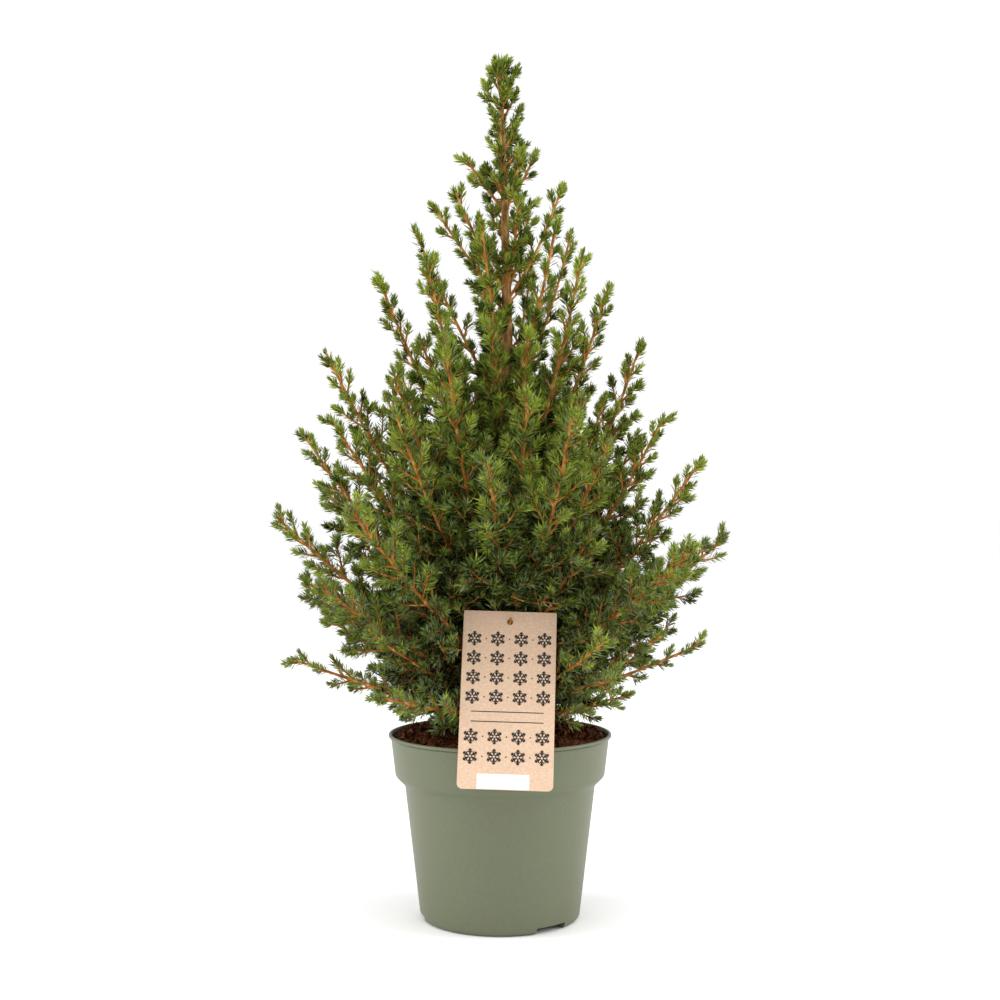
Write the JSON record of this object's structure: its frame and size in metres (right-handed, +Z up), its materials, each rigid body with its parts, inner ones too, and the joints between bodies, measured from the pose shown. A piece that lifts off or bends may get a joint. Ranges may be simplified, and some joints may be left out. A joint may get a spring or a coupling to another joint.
{
  "type": "potted dwarf spruce",
  "caption": "Small conical spruce with dense short needles, growing in a round nursery pot, with a card label hung on a twig in front.",
  "frame": {"origin": "middle of the pot's flat underside, which stands on the ground", "axes": "+Z up along the trunk, -Y to the front where the label hangs, +X to the right seen from the front"},
  "size_m": [0.3661, 0.2926, 0.6629],
  "materials": {
    "pot": "matte sage green moulded plastic",
    "soil": "damp dark brown peat",
    "bark": "rough grey-brown bark",
    "shoot_bark": "orange-brown young bark",
    "needles": "soft green needles with a slight sheen",
    "card": "uncoated kraft card with a black print"
  },
  "bodies": {
    "root": {"pot": "pot", "soil": "soil", "trunk": "bark", "bough_1a": "shoot_bark", "spray_1a": "needles", "bough_1b": "shoot_bark", "spray_1b": "needles", "bough_1c": "shoot_bark", "spray_1c": "needles", "bough_1d": "shoot_bark", "spray_1d": "needles", "bough_2a": "shoot_bark", "spray_2a": "needles", "bough_2b": "shoot_bark", "spray_2b": "needles", "bough_2c": "shoot_bark", "spray_2c": "needles", "bough_2d": "shoot_bark", "spray_2d": "needles", "bough_3a": "shoot_bark", "spray_3a": "needles", "bough_3b": "shoot_bark", "spray_3b": "needles", "bough_3c": "shoot_bark", "spray_3c": "needles", "bough_3d": "shoot_bark", "spray_3d": "needles", "bough_4a": "shoot_bark", "spray_4a": "needles", "bough_4b": "shoot_bark", "spray_4b": "needles", "bough_4c": "shoot_bark", "spray_4c": "needles", "bough_4d": "shoot_bark", "spray_4d": "needles", "bough_5a": "shoot_bark", "spray_5a": "needles", "bough_5b": "shoot_bark", "spray_5b": "needles", "bough_5c": "shoot_bark", "spray_5c": "needles", "bough_5d": "shoot_bark", "spray_5d": "needles", "spray_6a": "needles", "spray_6b": "needles", "spray_6c": "needles", "spray_6d": "needles", "spray_7a": "needles", "spray_7b": "needles", "spray_7c": "needles", "spray_7d": "needles", "spray_8a": "needles", "spray_8b": "needles", "spray_8c": "needles", "spray_8d": "needles", "spray_9a": "needles", "spray_9b": "needles", "spray_leader": "needles", "label_twig": "shoot_bark", "label": "card"}
  },
  "joints": []
}
